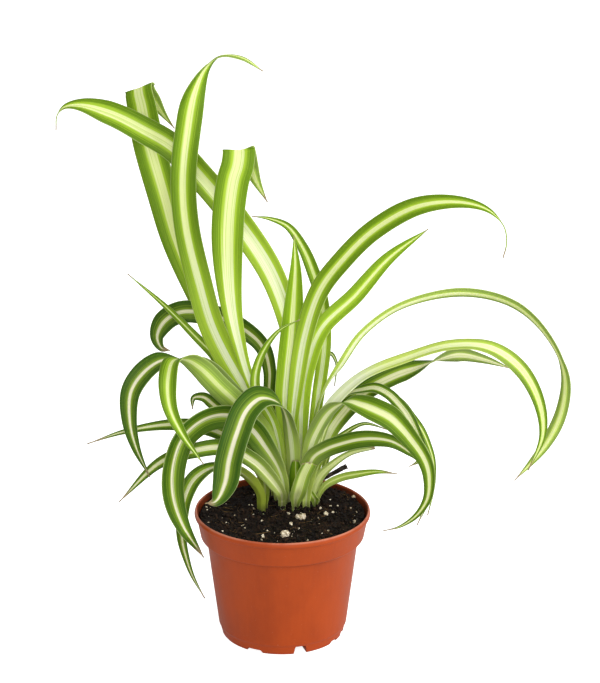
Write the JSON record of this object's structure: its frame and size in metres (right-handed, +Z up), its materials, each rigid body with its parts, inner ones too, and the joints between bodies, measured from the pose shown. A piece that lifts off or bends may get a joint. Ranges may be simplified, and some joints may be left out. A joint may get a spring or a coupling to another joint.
{
  "type": "potted spider plant",
  "caption": "Variegated spider plant with long arching striped leaves, growing in soil in a round terracotta-coloured plastic nursery pot.",
  "frame": {"origin": "centre of the pot's flat underside, on the ground", "axes": "+Z up along the pot's axis, -Y towards the picture's camera, +X to the right in the picture"},
  "size_m": [0.356, 0.1809, 0.387],
  "materials": {
    "leaf_blade": "satin, green with a cream stripe",
    "leaf_base": "pale satin",
    "dried_leaf": "dull, dried",
    "pot_plastic": "satin moulded",
    "potting_soil": "granular, dull"
  },
  "bodies": {
    "root": {"leaf_long_left_arch": "leaf_blade", "leaf_creased_outer": "leaf_blade", "leaf_tallest": "leaf_blade", "leaf_creased_inner": "leaf_blade", "leaf_narrow_back_arch": "leaf_blade", "leaf_upright": "leaf_blade", "leaf_high_right_arch": "leaf_blade", "leaf_short_right": "leaf_blade", "leaf_long_right_arch": "leaf_blade", "leaf_second_right_arch": "leaf_blade", "leaf_twisted_right": "leaf_blade", "leaf_front_right_droop": "leaf_blade", "leaf_right_droop_behind": "leaf_blade", "leaf_broken_right": "leaf_blade", "leaf_low_right_arch": "leaf_blade", "leaf_small_right": "leaf_blade", "leaf_cut_right": "leaf_blade", "leaf_lowest_right": "leaf_blade", "leaf_thin_left": "leaf_blade", "leaf_back_left_arch": "leaf_blade", "leaf_outer_left_arch": "leaf_blade", "leaf_bent_left": "leaf_blade", "leaf_flat_left": "leaf_blade", "leaf_small_back_left": "leaf_blade", "leaf_long_left_droop": "leaf_blade", "leaf_low_left": "leaf_blade", "leaf_lowest_left": "leaf_blade", "leaf_front_droop": "leaf_blade", "leaf_thin_centre_arch": "leaf_blade", "leaf_small_back": "leaf_blade", "leaf_stub_round": "leaf_blade", "leaf_stub_cut": "leaf_blade", "leaf_bud": "leaf_blade", "dry_leaf": "dried_leaf", "crown_main": "leaf_base", "crown_left": "leaf_base", "pot": "pot_plastic", "soil": "potting_soil"}
  },
  "joints": []
}
